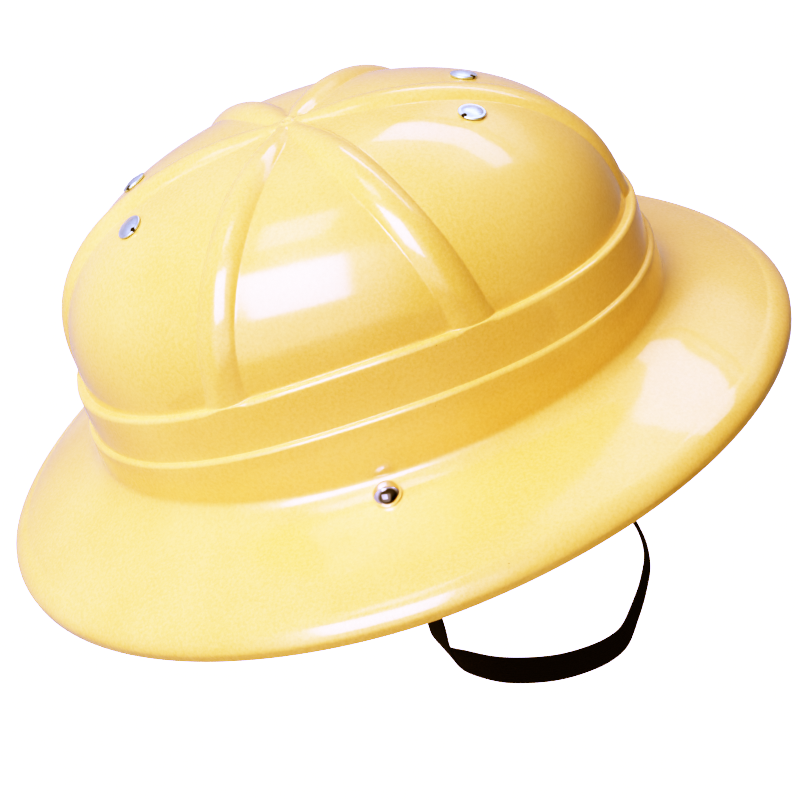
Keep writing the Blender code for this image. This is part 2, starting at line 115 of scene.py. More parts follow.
def relief(a, phi):
    """Rise of the ribs and the hub over the plain crown."""
    base = crown_base(a, phi)
    dx, dy = base[..., 0], base[..., 1] - APEX_SHIFT
    r = np.hypot(dx, dy)
    angle = np.arctan2(dy, dx)
    station = phi / (PI / 2)
    high = RIB_FOOT_H + (RIB_H - RIB_FOOT_H) * np.minimum(station / 0.5, 1) ** 0.7
    high = high * (0.35 + 0.65 * np.minimum(r / 30, 1))
    above = base[..., 2] - level(a, LEDGE_1)
    high = high + 0.55 * np.exp(-((above / 3.5) ** 2))
    half = np.maximum(RIB_W / 2 * (1 - np.exp(-r / RIB_NARROW)), 0.3)
    half = half + 1.2 * np.exp(-((above / 4.0) ** 2))
    ball = (half**2 + high**2) / (2 * high)
    best = np.full_like(r, -99.0)
    for middle in rib_middles(phi):
        turn = angle - middle
        off = np.where(np.cos(turn) > 0, r * np.abs(np.sin(turn)), r)
        arc = np.sqrt(np.maximum(ball**2 - off**2, 0)) - (ball - high)
        best = np.maximum(best, arc)
    crease = 0.20 + 0.45 * step((30 - r) / 30)
    rise = soft_floor(best, crease)
    merge = step((8.0 - r) / 5.0)
    rise = rise * (1 - merge) + high * merge
    rise = rise + 0.60 * step((3.3 - r) / 0.9) - 0.45 * step((1.9 - r) / 0.7) + 0.3 * np.exp(-((r / 0.55) ** 2))
    pip = np.hypot(dx + 0.8, dy - 4.1)
    return rise + 0.6 * np.exp(-((pip / 0.75) ** 2))


def crown(a, phi):
    return crown_base(a, phi) + relief(a, phi)[..., None] * crown_normal(a, phi)


def columns(phi):
    """Angles of every column at this height: close together over the ribs' sides, wider on the panels."""
    across = np.concatenate([np.linspace(-1, -0.9, 2), np.linspace(-0.86, -0.64, 9), np.linspace(-0.56, 0.56, 9),
                             np.linspace(0.64, 0.86, 9), np.linspace(0.9, 1, 2)])
    panel = np.arange(1, 25) / 25.0
    phi = np.array([phi])
    middles = [m[0] for m in rib_middles(phi)]
    reach = []
    for m in middles:
        p = crown_base(np.array([m]), phi)[0]
        r = max(math.hypot(p[0], p[1] - APEX_SHIFT), 0.05)
        half = max(RIB_W / 2 * (1 - math.exp(-r / RIB_NARROW)), 0.3)
        reach.append(min(1.3 * half / r, math.radians(24.0)))
    out = []
    for i, m in enumerate(middles):
        after = middles[(i + 1) % 6] + (2 * PI if i == 5 else 0)
        out.append(m + across * reach[i])
        a, b = m + reach[i], after - reach[(i + 1) % 6]
        out.append(a + (b - a) * panel)
    return np.concatenate(out)


def bezier(points, count, first=True):
    t = np.linspace(0, 1, count)[0 if first else 1:, None]
    p0, p1, p2, p3 = (np.array(p, float) for p in points)
    return (1 - t) ** 3 * p0 + 3 * (1 - t) ** 2 * t * p1 + 3 * (1 - t) * t * t * p2 + t**3 * p3


def brim_top(a, share):
    x0, y0 = plan(a, BAND_L, BAND_W)
    x1, y1 = plan(a, BRIM_L - LIP_ROLL, BRIM_W - LIP_ROLL, BRIM_POWER)
    y1 = y1 + BRIM_SHIFT
    fall = -(level(a, BRIM_LEVEL) + LIP_HEIGHT / 2 - 0.3)
    drop = FOOT_FILLET * (1 - np.exp(-share / FOOT_REACH)) + (fall - FOOT_FILLET) * (0.85 * share + 0.15 * share**4)
    return np.stack([x0 + share * (x1 - x0), y0 + share * (y1 - y0), -drop], -1)


def band(a, inset, z):
    x, y = plan(a, BAND_L - inset, BAND_W - inset)
    return np.stack([x, y, z + 0 * x], -1)


def outer_rows():
    """Rows of the shell's outside from the lip up to the hub, and which of them the inside repeats."""
    a = columns(0.004)
    rows, keep = [], []

    def put(p, kept=True):
        rows.append(p)
        keep.append(kept)

    # lip, as (outwards, up) from the middle of the lip's face
    x, y = plan(a, BRIM_L, BRIM_W, BRIM_POWER)
    out = unit(np.stack([x, y, 0 * x], -1))
    edge = np.stack([x, y + BRIM_SHIFT, level(a, BRIM_LEVEL)], -1)
    up = np.array([0, 0, 1.0])
    for o, z in ((-0.42, -4.75), (-0.22, -3.6), (-0.08, -2.9), (0.0, -2.2)):
        put(edge + o * out + z * up)
    for i, (o, z) in enumerate(bezier([(0, -2.2), (0, 0.9), (-4.0, 4.4), (-LIP_ROLL, 5.2)], 17, False)):
        put(edge + o * out + z * up, i % 3 == 0)
    shares = np.concatenate([np.linspace(0.975, 0.20, 26), np.linspace(0.185, 0.028, 16)])
    for i, share in enumerate(shares):
        put(brim_top(a, share), i % 2 == 0 or i == len(shares) - 1)
    # the brim's top turns up into the band
    low, before = brim_top(a, 0.028), brim_top(a, 0.040)
    along = unit(low - before)
    top = band(a, 0.0, 1.7 + 0 * a)
    run = np.linalg.norm(top - low, axis=-1, keepdims=True)
    for i, t in enumerate(np.linspace(0, 1, 9)[1:]):
        p1, p2 = low + 0.42 * run * along, top - 0.42 * run * up
        put((1 - t) ** 3 * low + 3 * (1 - t) ** 2 * t * p1 + 3 * (1 - t) * t * t * p2 + t**3 * top, i % 2 == 1)
    # lower band wall and its ledge
    z2, z1 = level(a, LEDGE_2), level(a, LEDGE_1)
    r2 = 1.55
    for s in (0.2, 0.5, 0.8, 1.0):
        put(band(a, 0.0, 1.7 + s * (z2 - r2 - 1.7)))
    for i, t in enumerate(np.linspace(0, PI / 2, 9)[1:]):
        put(band(a, r2 * (1 - math.cos(t)), z2 - r2 + r2 * math.sin(t)), i in (3, 7))
    for i, t in enumerate(np.linspace(0, PI / 2, 6)):
        f = 0.45
        put(band(a, W2 - f + f * math.sin(t), z2 + f * (1 - math.cos(t))), i in (0, 3, 5))
    # upper band wall and its ledge, which the ribs' feet nearly cover
    foot = crown(a, np.full_like(a, 0.012))
    wall = band(a, W2, z1)
    room = np.hypot(wall[:, 0] - foot[:, 0], wall[:, 1] - foot[:, 1])
    away = unit((wall - foot) * np.array([1, 1, 0.0]))
    r1 = np.clip(0.72 * room, 0.25, 1.9)
    f1 = np.clip(0.22 * room, 0.08, 0.45)
    for s in (0.25, 0.5, 0.75, 1.0):
        put(band(a, W2, z2 + 0.45 + s * (z1 - r1 - z2 - 0.45)))

    def ledge(out_from_foot, z):
        p = foot + away * out_from_foot[:, None]
        return np.stack([p[:, 0], p[:, 1], z], -1)

    for i, t in enumerate(np.linspace(0, PI / 2, 9)[1:]):
        put(ledge(room - r1 * (1 - math.cos(t)), z1 - r1 + r1 * math.sin(t)), i in (3, 7))
    for s in (0.35, 0.7):
        put(ledge((room - r1) * (1 - s) + f1 * s, z1 + 0 * a), False)
    for i, t in enumerate(np.linspace(0, PI / 2, 6)[:-1]):
        put(ledge(f1 * (1 - math.sin(t)), z1 + (foot[:, 2] - z1) * (1 - math.cos(t))), i in (0, 3))
    # crown
    phis = list(np.linspace(0.012, 0.10, 5)) + list(np.linspace(0.13, 1.30, 30))
    radii = [21, 18.5, 16, 14, 12.2, 10.6, 9.2, 8.0, 7.0, 6.1, 5.4, 4.8, 4.3, 3.9, 3.55, 3.25, 2.95, 2.65, 2.35,
             2.05, 1.75, 1.45, 1.15, 0.85, 0.55, 0.28]
    phis += [math.acos((r / 88.2) ** (CROWN_POWER / 2)) for r in radii if r / 88.2 < 0.32]
    crown_rows = []
    for i, phi in enumerate(phis):
        at = columns(phi)
        p = crown(at, np.full_like(at, phi))
        crown_rows.append(p)
        put(p, i % 2 == 0 or i == len(phis) - 1)
    return rows, keep


def grid_normals(grid):
    """Outward normals of rows running up and columns running counter-clockwise."""
    up = np.empty_like(grid)
    up[1:-1] = grid[2:] - grid[:-2]
    up[0], up[-1] = grid[1] - grid[0], grid[-1] - grid[-2]
    round_ = np.roll(grid, -1, axis=1) - np.roll(grid, 1, axis=1)
    return unit(np.cross(round_, up))


def build_shell_mesh():
    rows, keep = outer_rows()
    outer = np.array(rows)
    normal = grid_normals(outer)
    inner = (outer - WALL * normal)[np.array(keep)]
    # rounded lower edge of the lip, from the inside to the outside
    a, b = inner[0], outer[0]
    middle, half = (a + b) / 2, np.linalg.norm(b - a, axis=-1, keepdims=True) / 2
    side = unit(b - a)
    cap = [middle - side * half * math.cos(t) - np.array([0, 0, 1.0]) * half * math.sin(t) for t in np.linspace(0, PI, 7)[1:-1]]
    grid = np.concatenate([inner[::-1], np.array(cap), outer])
    count_rows, count = grid.shape[:2]
    top_in = inner[-1].mean(0) + np.array([0, 0, 0.02])
    top_out = outer[-1].mean(0) + np.array([0, 0, 0.02])
    points = np.concatenate([grid.reshape(-1, 3), top_in[None], top_out[None]]) * MM
    i = np.arange(count_rows - 1)[:, None] * count
    j = np.arange(count)[None, :]
    k = (j + 1) % count
    quads = np.stack([i + j, i + k, i + count + k, i + count + j], -1).reshape(-1, 4)
    last = (count_rows - 1) * count
    j = np.arange(count)
    k = (j + 1) % count
    fans = [(int(count_rows * count), int(b), int(a)) for a, b in zip(j, k)]
    fans += [(last + int(a), last + int(b), int(count_rows * count) + 1) for a, b in zip(j, k)]
    inside = np.zeros(len(points), np.float32)
    inside[: len(inner) * count] = 1.0
    inside[count_rows * count] = 1.0
    return points, [tuple(int(v) for v in q) for q in quads] + fans, inside


# ------------------------------------------------------------------ building helpers


def new_object(name, points, faces, material, smooth=True):
    mesh = bpy.data.meshes.new(name)
    mesh.from_pydata([tuple(map(float, p)) for p in points], [], faces)
    mesh.update()
    obj = bpy.data.objects.new(name, mesh)
    bpy.context.scene.collection.objects.link(obj)
    mesh.materials.append(material)
    if smooth:
        mesh.shade_smooth()
    return obj


def turned(name, profile, place, material, segments=72):
    """Closed solid turned about Z through (radius, z) points in millimetres, bottom to top."""
    points, faces, rings = [], [], []
    for r, z in profile:
        if r < 1e-6:
            rings.append([len(points)])
            points.append((0, 0, z * MM))
        else:
            rings.append(list(range(len(points), len(points) + segments)))
            points += [(r * MM * math.cos(2 * PI * i / segments), r * MM * math.sin(2 * PI * i / segments), z * MM)
                       for i in range(segments)]
    for low, high in zip(rings, rings[1:]):
        for i in range(segments):
            k = (i + 1) % segments
            if len(low) == 1:
                faces.append((low[0], high[k], high[i]))
            elif len(high) == 1:
                faces.append((low[i], low[k], high[0]))
            else:
                faces.append((low[i], low[k], high[k], high[i]))
    if len(rings[0]) > 1 and len(rings[-1]) > 1:
        for i in range(segments):
            k = (i + 1) % segments
            faces.append((rings[-1][i], rings[-1][k], rings[0][k], rings[0][i]))
    obj = new_object(name, points, faces, material)
    obj.data.transform(place)
    obj.data.set_sharp_from_angle(angle=math.radians(50))
    return obj


def placed(point, axis):
    axis = axis.normalized()
    across = Vector((0, 1, 0)) if abs(axis.y) < 0.9 else Vector((1, 0, 0))
    across = (across - across.dot(axis) * axis).normalized()
    other = axis.cross(across)
    return Matrix.Translation(point * MM) @ Matrix((across, other, axis)).transposed().to_4x4()


def arc(cr, cz, r, start, stop, count):
    """Points of an arc about (cr, cz), angles in degrees from the outward direction."""
    return [(cr + r * math.cos(math.radians(start + (stop - start) * i / (count - 1))),
             cz + r * math.sin(math.radians(start + (stop - start) * i / (count - 1)))) for i in range(count)]


# ------------------------------------------------------------------ materials


class Nodes:
    """Short way to write a material's nodes."""

    def __init__(self, name):
        self.material = bpy.data.materials.new(name)
        self.material.use_nodes = True
        self.tree = self.material.node_tree
        self.shader = self.tree.nodes["Principled BSDF"]

    def add(self, kind, **settings):
        node = self.tree.nodes.new(kind)
        for key, value in settings.items():
            if key in node.bl_rna.properties:
                setattr(node, key, value)
            else:
                node.inputs[key.replace("_", " ")].default_value = value
        return node

    def link(self, a, b):
        self.tree.links.new(a, b)

    def set(self, **values):
        for key, value in values.items():
            self.shader.inputs[key.replace("_", " ")].default_value = value

    def noise(self, source, scale, detail=2.0, roughness=0.5):
        node = self.add("ShaderNodeTexNoise", Scale=scale, Detail=detail, Roughness=roughness)
        self.link(source, node.inputs["Vector"])
        return node.outputs["Fac"]

    def ramp(self, source, stops):
        node = self.add("ShaderNodeValToRGB")
        elements = node.color_ramp.elements
        while len(elements) < len(stops):
            elements.new(0.5)
        for element, (position, color) in zip(elements, stops):
            element.position = position
            element.color = (*color, 1.0) if len(color) == 3 else (color[0], color[0], color[0], 1.0)
        self.link(source, node.inputs["Fac"])
        return node.outputs["Color"]

    def range(self, source, low, high, to_low, to_high):
        node = self.add("ShaderNodeMapRange")
        for name, value in (("From Min", low), ("From Max", high), ("To Min", to_low), ("To Max", to_high)):
            node.inputs[name].default_value = value
        self.link(source, node.inputs["Value"])
        return node.outputs["Result"]

    def math(self, kind, a, b):
        node = self.add("ShaderNodeMath", operation=kind)
        for socket, value in zip(node.inputs, (a, b)):
            if isinstance(value, (int, float)):
                socket.default_value = value
            else:
                self.link(value, socket)
        return node.outputs[0]

    def bump(self, height, strength, distance, after=None):
        node = self.add("ShaderNodeBump", Strength=strength, Distance=distance)
        self.link(height, node.inputs["Height"])
        if after is not None:
            self.link(after, node.inputs["Normal"])
        return node.outputs["Normal"]


def plastic_material():
    n = Nodes("tan_plastic_fine")
    at = n.add("ShaderNodeTexCoord").outputs["Object"]
    # slow drift of the pigment, and a fine mottle
    slow = n.noise(at, 16.0, 3.0)
    fine = n.noise(at, 800.0, 3.0, 0.7)
    tone = n.math("ADD", n.math("MULTIPLY", slow, 0.45), n.math("MULTIPLY", fine, 0.55))
    color = n.ramp(tone, [(0.36, (0.82, 0.487, 0.113)), (0.50, (0.89, 0.550, 0.148)), (0.64, (0.95, 0.608, 0.186))])
    # a few specks moulded in
    speck = n.add("ShaderNodeTexVoronoi", Scale=95.0, Randomness=1.0)
    n.link(at, speck.inputs["Vector"])
    spot = n.range(speck.outputs["Distance"], 0.016, 0.030, 1.0, 0.0)
    pick = n.range(n.noise(at, 23.0, 0.0), 0.60, 0.66, 0.0, 1.0)
    mix = n.add("ShaderNodeMix", data_type="RGBA")
    n.link(n.math("MULTIPLY", spot, pick), mix.inputs["Factor"])
    n.link(color, mix.inputs["A"])
    mix.inputs["B"].default_value = (0.42, 0.20, 0.05, 1.0)
    n.link(mix.outputs["Result"], n.shader.inputs["Base Color"])
    # gloss: smooth, a little uneven, with faint smears
    smear = n.noise(at, 34.0, 5.0, 0.65)
    n.link(n.range(smear, 0.35, 0.75, 0.16, 0.26), n.shader.inputs["Roughness"])
    wave = n.bump(n.noise(at, 30.0, 1.0), 0.10, 0.0012)
    peel = n.bump(n.noise(at, 520.0, 2.0), 0.05, 0.0003, wave)
    n.link(peel, n.shader.inputs["Normal"])
    n.link(wave, n.shader.inputs["Coat Normal"])
    n.set(IOR=1.5, Specular_IOR_Level=0.25, Coat_Weight=0.6, Coat_Roughness=0.05, Coat_IOR=1.5,
          Subsurface_Weight=0.06, Subsurface_Radius=(1.0, 0.45, 0.12), Subsurface_Scale=0.002)
    return n.material


def metal_material(name, color, low, high, grain, strength):
    n = Nodes(name)
    at = n.add("ShaderNodeTexCoord").outputs["Object"]
    mark = n.noise(at, grain, 4.0, 0.6)
    tint = n.ramp(mark, [(0.3, tuple(c * 0.93 for c in color)), (0.7, color)])
    n.link(tint, n.shader.inputs["Base Color"])
    n.link(n.range(mark, 0.3, 0.75, low, high), n.shader.inputs["Roughness"])
    n.link(n.bump(n.noise(at, grain * 3.1, 2.0), strength, 0.0001), n.shader.inputs["Normal"])
    n.set(Metallic=1.0)
    return n.material


def stud_material(shade_spots):
    """Dull bright steel with a small near-black spot at one edge of each stud: painted shade where the rolled rim would
    stand open, which the turned shape does not model.
    """
    n = Nodes("stud_steel_fine")
    at = n.add("ShaderNodeTexCoord").outputs["Object"]
    nearest = None
    for shade_spot in shade_spots:
        node = n.add("ShaderNodeVectorMath", operation="DISTANCE")
        n.link(at, node.inputs[0])
        node.inputs[1].default_value = shade_spot
        away = node.outputs["Value"]
        nearest = away if nearest is None else n.math("MINIMUM", nearest, away)
    mark = n.noise(at, 260.0, 3.0, 0.6)
    tint = n.ramp(mark, [(0.35, (0.50, 0.70, 0.72)), (0.65, (0.60, 0.79, 0.80))])
    # painted shade: near-black colour within about a millimetre of each stud's shade spot
    mix = n.add("ShaderNodeMix", data_type="RGBA")
    n.link(n.range(nearest, 0.0009, 0.0012, 1.0, 0.0), mix.inputs["Factor"])
    n.link(tint, mix.inputs["A"])
    mix.inputs["B"].default_value = (0.004, 0.004, 0.004, 1.0)
    n.link(mix.outputs["Result"], n.shader.inputs["Base Color"])
    n.link(n.range(mark, 0.3, 0.75, 0.26, 0.42), n.shader.inputs["Roughness"])
    n.link(n.bump(n.noise(at, 2200.0, 2.0), 0.12, 0.0001), n.shader.inputs["Normal"])
    n.set(Metallic=1.0)
    return n.material


def chrome_material():
    """Mirror-bright nickel. Its colour is dark where the dome meets the view head-on and light where it curves away: a
    painted dark reflection, set by facing angle.
    """
    n = Nodes("chrome_fine")
    at = n.add("ShaderNodeTexCoord").outputs["Object"]
    # painted reflection: the facing ramp makes the colour near-black where the dome faces the view and light towards
    # its edges
    turn = n.add("ShaderNodeLayerWeight", Blend=0.5).outputs["Facing"]
    n.link(n.ramp(turn, [(0.0, (0.080, 0.080, 0.080)), (0.12, (0.030, 0.028, 0.026)), (0.22, (0.86, 0.86, 0.86)), (1.0, (0.92, 0.91, 0.90))]),
           n.shader.inputs["Base Color"])
    mark = n.noise(at, 500.0, 4.0, 0.6)
    n.link(n.range(mark, 0.3, 0.75, 0.03, 0.07), n.shader.inputs["Roughness"])
    n.link(n.bump(n.noise(at, 1500.0, 2.0), 0.02, 0.0001), n.shader.inputs["Normal"])
    n.set(Metallic=1.0)
    return n.material


def elastic_material():
    """Woven elastic: lengthwise cords crossed by a fine weft. The UV map is in millimetres."""
    n = Nodes("black_elastic_fine")
    uv = n.add("ShaderNodeUVMap").outputs["UV"]
    split = n.add("ShaderNodeSeparateXYZ")
    n.link(uv, split.inputs[0])
    across, along = split.outputs["X"], split.outputs["Y"]
    cords = n.math("SINE", n.math("MULTIPLY", across, 2 * PI / 0.9), 0.0)
    odd = n.math("SIGN", n.math("SINE", n.math("MULTIPLY", across, PI / 0.9), 0.0), 0.0)
    weft = n.math("SINE", n.math("ADD", n.math("MULTIPLY", along, 2 * PI / 0.75), n.math("MULTIPLY", odd, PI / 2)), 0.0)
    height = n.math("ADD", n.math("MULTIPLY", cords, 0.5), n.math("MULTIPLY", weft, 0.5))
    fuzz = n.noise(n.add("ShaderNodeTexCoord").outputs["Object"], 2600.0, 3.0, 0.7)
    height = n.math("ADD", height, n.math("MULTIPLY", fuzz, 0.5))
    # painted shade: the colour is darker down in the weave's dips and a touch lighter on the raised cords
    n.link(n.ramp(n.range(height, -0.8, 1.2, 0.0, 1.0), [(0.0, (0.0002, 0.0005, 0.0010)), (1.0, (0.0010, 0.0020, 0.0040))]),
           n.shader.inputs["Base Color"])
    n.link(n.range(height, -0.8, 1.2, 0.95, 0.75), n.shader.inputs["Roughness"])
    n.link(n.bump(height, 0.5, 0.00012), n.shader.inputs["Normal"])
    n.set(Specular_IOR_Level=0.06)
    return n.material


def floor_material():
    n = Nodes("pale_floor")
    at = n.add("ShaderNodeTexCoord").outputs["Object"]
    n.link(n.ramp(n.noise(at, 3.0, 2.0), [(0.3, (0.50, 0.50, 0.50)), (0.7, (0.52, 0.52, 0.52))]), n.shader.inputs["Base Color"])
    n.set(Roughness=0.9, Specular_IOR_Level=0.0, Emission_Color=(1, 1, 1, 1), Emission_Strength=FLOOR_GLOW)
    return n.material


# ------------------------------------------------------------------ pieces


def build_studs():
    shade_spots, made = [], []
    floor = GAP + STUD_R**2 / 160.0
    for side, sign_x in (("left", 1), ("right", -1)):
        for end, sign_y in (("front", -1), ("back", 1)):
            angle = math.atan2(sign_y, 0) - sign_y * sign_x * math.radians(STUD_ANGLES[end])
            a, phi = np.array([angle]), np.array([STUD_STATION * PI / 2])
            seat = Vector(crown_base(a, phi)[0])
            axis = Vector(crown_normal(a, phi)[0])
            low = -WALL - GAP - 0.25
            profile = [(0.0, low - 0.7), (3.7, low - 0.7)] + arc(3.72, low - 0.42, 0.28, -90, 0, 5)[1:] + [(4.0, low), (1.9, low), (1.9, floor - 0.35)]
            profile += [(STUD_R - 0.3, floor - 0.35)] + arc(STUD_R - 0.38, floor + 0.32, 0.38, -60, 90, 10)
            profile += [(STUD_R - 0.75, floor + 0.66), (STUD_R - 1.0, floor + 0.64)]
            r0, h = STUD_R - 1.0, 0.95
            ball = (r0**2 + h**2) / (2 * h)
            sweep = math.asin(r0 / ball)
            for i in range(1, 17):
                t = sweep * (1 - i / 16)
                profile.append((ball * math.sin(t) if i < 16 else 0.0, floor + 0.64 + h - ball * (1 - math.cos(t))))
            # where round the stud the painted shade spot sits
            turn = math.radians(STUD_SHADE_SPOT_ANGLES[end] if sign_x > 0 else 180.0 - STUD_SHADE_SPOT_ANGLES[end])
            place = placed(seat, axis)
            shade_spot = place @ Vector((4.5 * math.cos(turn) * MM, 4.5 * math.sin(turn) * MM, (floor + 0.6) * MM))
            shade_spots.append(shade_spot)
            name = f"crown_stud_{end}_{side}"
            made.append((turned(f"stud_{end}_{side}", profile, place, None, 80), name))
    material = stud_material(shade_spots)
    for obj, name in made:
        obj.data.materials[0] = material
        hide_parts(name)
        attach(obj, "root")


def rivet_seat(sign_x):
    angle = np.array([0.0 if sign_x > 0 else PI])
    foot, edge = brim_top(angle, 0.0)[0], brim_top(angle, 1.0)[0]
    share = RIVET_OUT / math.hypot(edge[0] - foot[0], edge[1] - foot[1])
    seat = Vector(brim_top(angle, share)[0])
    seat.y = RIVET_SHIFT
    slope = Vector(brim_top(angle, share + 0.05)[0] - brim_top(angle, share - 0.05)[0])
    slope.y = 0.0
    slope.normalize()
    axis = Vector((0, sign_x, 0)).cross(slope)
    if axis.z < 0:
        axis = -axis
    return seat, axis.normalized(), slope


def rivet_stack():
    head = 0.35 + GAP
    tab_top = -WALL - TAB_GAP
    washer_top = tab_top - STRAP_T - GAP
    return head, tab_top - STRAP_T / 2, washer_top, washer_top - 0.8 - GAP


def build_rivets(chrome, steel):
    head, _, washer_top, tail_top = rivet_stack()
    for side, sign_x in (("left", 1), ("right", -1)):
        seat, axis, _ = rivet_seat(sign_x)
        place = placed(seat, axis)
        profile = [(0.0, tail_top - 0.55), (1.2, tail_top - 0.62), (2.0, tail_top - 0.8)]
        profile += arc(2.75, tail_top - 0.45, 0.35, -90, 90, 9) + [(2.0, tail_top), (2.0, head - 0.5)]
        profile += [(RIVET_R - 0.35, head - 0.5)] + arc(RIVET_R - 0.3, head + 0.05, 0.3, -80, 0, 6)
        r0, h, base = RIVET_R, RIVET_DOME + 0.55, head + 0.15
        for i in range(1, 33):
            t = PI / 2 * i / 32
            profile.append((r0 * math.cos(t) ** 0.92 if i < 32 else 0.0, base + h * math.sin(t)))
        obj = turned(f"rivet_{side}", profile, place, chrome, 96)
        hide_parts(f"strap_rivet_{side}")
        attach(obj, "root")
        low, bore = washer_top - 0.8, 2.35
        ring = [(bore, low + 0.1), (bore + 0.1, low), (4.45, low)] + arc(4.45, low + 0.15, 0.15, -90, 0, 4)[1:]
        ring += arc(4.4, washer_top - 0.2, 0.2, 0, 90, 4) + [(bore + 0.1, washer_top), (bore, washer_top - 0.1)]
        obj = turned(f"washer_{side}", ring, place, steel, 72)
        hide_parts(f"rivet_washer_{side}")
        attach(obj, "root")


STRAP_ROUTE = (
    # x, y, z, width_x, width_y, width_z
    (109.8, -2.6, -36.0, 0.45, 0.89, 0.00),
    (109.0, -2.2, -57.5, 0.80, 0.60, -0.02),
    (105.6, -3.2, -69.5, 0.83, 0.50, -0.20),
    (98.5, -2.2, -82.5, 0.80, 0.35, -0.45),
    (87.0, 1.5, -96.5, 0.70, 0.15, -0.70),
    (68.0, 8.9, -118.0, 0.58, 0.03, -0.81),
    (50.0, 18.1, -136.4, 0.50, -0.03, -0.86),
    (33.0, 28.6, -152.3, 0.47, -0.06, -0.88),
    (16.0, 39.6, -165.6, 0.40, -0.08, -0.91),
    (2.0, 49.1, -174.4, 0.30, -0.08, -0.95),
    (-8.0, 56.2, -177.6, 0.14, -0.06, -0.98),
    (-20.0, 63.2, -176.0, -0.10, -0.04, -0.99),
    (-32.0, 70.0, -172.4, -0.25, -0.03, -0.97),
    (-45.0, 75.2, -167.4, -0.30, 0.02, -0.95),
    (-59.0, 75.0, -160.0, -0.36, 0.18, -0.90),
    (-76.0, 66.0, -141.0, -0.46, 0.50, -0.70),
    (-92.0, 46.5, -107.0, -0.50, 0.78, -0.30),
    (-104.0, 22.0, -66.0, -0.40, 0.90, -0.10),
    (-109.4, 4.0, -38.0, -0.20, 0.97, 0.00),
)


def strap_rows():
    _, middle, _, _ = rivet_stack()
    ends = []
    for sign_x in (1, -1):
        seat, axis, slope = rivet_seat(sign_x)
        at = seat + middle * axis
        wide = Vector((0, 1, 0))
        tab = [(at + along * slope, wide) for along in (-5.4, -2.0, 1.5, 4.0, 6.8)]
        bend = at + 10.4 * slope - 2.0 * axis
        ends.append(tab + [(bend, wide), (Vector((bend.x + sign_x * 1.6, RIVET_SHIFT, bend.z - 5.0)), wide)])
    rows = ends[0] + [(Vector(row[:3]), Vector(row[3:]).normalized()) for row in STRAP_ROUTE]
    return rows + list(reversed(ends[1]))


def smooth_rows(rows, stations):
    fine = []
    for i in range(len(rows) - 1):
        p0, p1, p2, p3 = rows[max(i - 1, 0)], rows[i], rows[i + 1], rows[min(i + 2, len(rows) - 1)]
        span = (p2[0] - p1[0]).length
        before = max((p1[0] - p0[0]).length, 1e-6)
        after = max((p3[0] - p2[0]).length, 1e-6)
        for s in range(24):
            t = s / 24
            made = []
            for part in (0, 1):
                a, b = p1[part], p2[part]
                into = (b - p0[part]) * span / (span + before) if i > 0 else b - a
                outof = (p3[part] - a) * span / (span + after) if i < len(rows) - 2 else b - a
                made.append((2 * t**3 - 3 * t**2 + 1) * a + (3 * t**2 - 2 * t**3) * b
                            + (t**3 - 2 * t**2 + t) * into + (t**3 - t**2) * outof)
            fine.append((made[0], made[1].normalized()))
    fine.append(rows[-1])
    lengths = [0.0]
    for a, b in zip(fine, fine[1:]):
        lengths.append(lengths[-1] + (b[0] - a[0]).length)
    out, j = [], 0
    for i in range(stations):
        want = lengths[-1] * i / (stations - 1)
        while j < len(fine) - 2 and lengths[j + 1] < want:
            j += 1
        share = max(0.0, min(1.0, (want - lengths[j]) / max(lengths[j + 1] - lengths[j], 1e-9)))
        out.append((fine[j][0].lerp(fine[j + 1][0], share), fine[j][1].lerp(fine[j + 1][1], share).normalized()))
    return out, lengths[-1]


def strap_section():
    """(across, thick) points round the strap: cords on both faces and round selvedges."""
    points = []
    w, t = STRAP_W / 2, STRAP_T / 2
    across = np.linspace(w - 0.5, -w + 0.5, 45)
    cord = 0.07 * np.cos(across * 2 * PI / 0.9)
    for a, c in zip(across, cord):
        points.append((float(a), float(t - 0.08 + c)))
    for k in range(1, 8):
        turn = PI / 2 + PI * k / 8
        points.append((-w + 0.5 + 0.5 * math.cos(turn), (t - 0.02) * math.sin(turn)))
    for a, c in zip(across[::-1], cord[::-1]):
        points.append((float(a), float(-t + 0.08 - c)))
    for k in range(1, 8):
        turn = -PI / 2 + PI * k / 8
        points.append((w - 0.5 + 0.5 * math.cos(turn), (t - 0.02) * math.sin(turn)))
    return points


def build_strap(material):
    rows, length = smooth_rows(strap_rows(), 560)
    section = strap_section()
    count = len(section)
    points, uvs = [], []
    for i, (point, wide) in enumerate(rows):
        ahead = (rows[min(i + 1, len(rows) - 1)][0] - rows[max(i - 1, 0)][0]).normalized()
        across = (wide - wide.dot(ahead) * ahead).normalized()
        thick = ahead.cross(across)
        for a, b in section:
            points.append((point + a * across + b * thick) * MM)
            uvs.append((a, length * i / (len(rows) - 1)))
    faces = []
    for i in range(len(rows) - 1):
        for j in range(count):
            k = (j + 1) % count
            faces.append((i * count + j, i * count + k, (i + 1) * count + k, (i + 1) * count + j))
    faces.append(tuple(reversed(range(count))))
    faces.append(tuple(range((len(rows) - 1) * count, len(rows) * count)))
    obj = new_object("strap", points, faces, material)
    layer = obj.data.uv_layers.new(name="UVMap")
    loops = np.empty(len(obj.data.loops), np.int32)
    obj.data.loops.foreach_get("vertex_index", loops)
    layer.data.foreach_set("uv", np.array(uvs, np.float32)[loops].ravel())
    obj.data.set_sharp_from_angle(angle=math.radians(60))
    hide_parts("chin_strap")
    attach(obj, "root")
    return obj


# ------------------------------------------------------------------ stage, light and camera

FLOOR_GLOW = 3.5
FLOOR_Z = -0.26
# The film's answer to light: each colour rises as 1 - exp(-(x / half) ** power), and is full at FILM_TOP.
FILM = ((0.645, 1.07), (0.79, 1.29), (0.515, 2.1))
FILM_TOP = 3.0


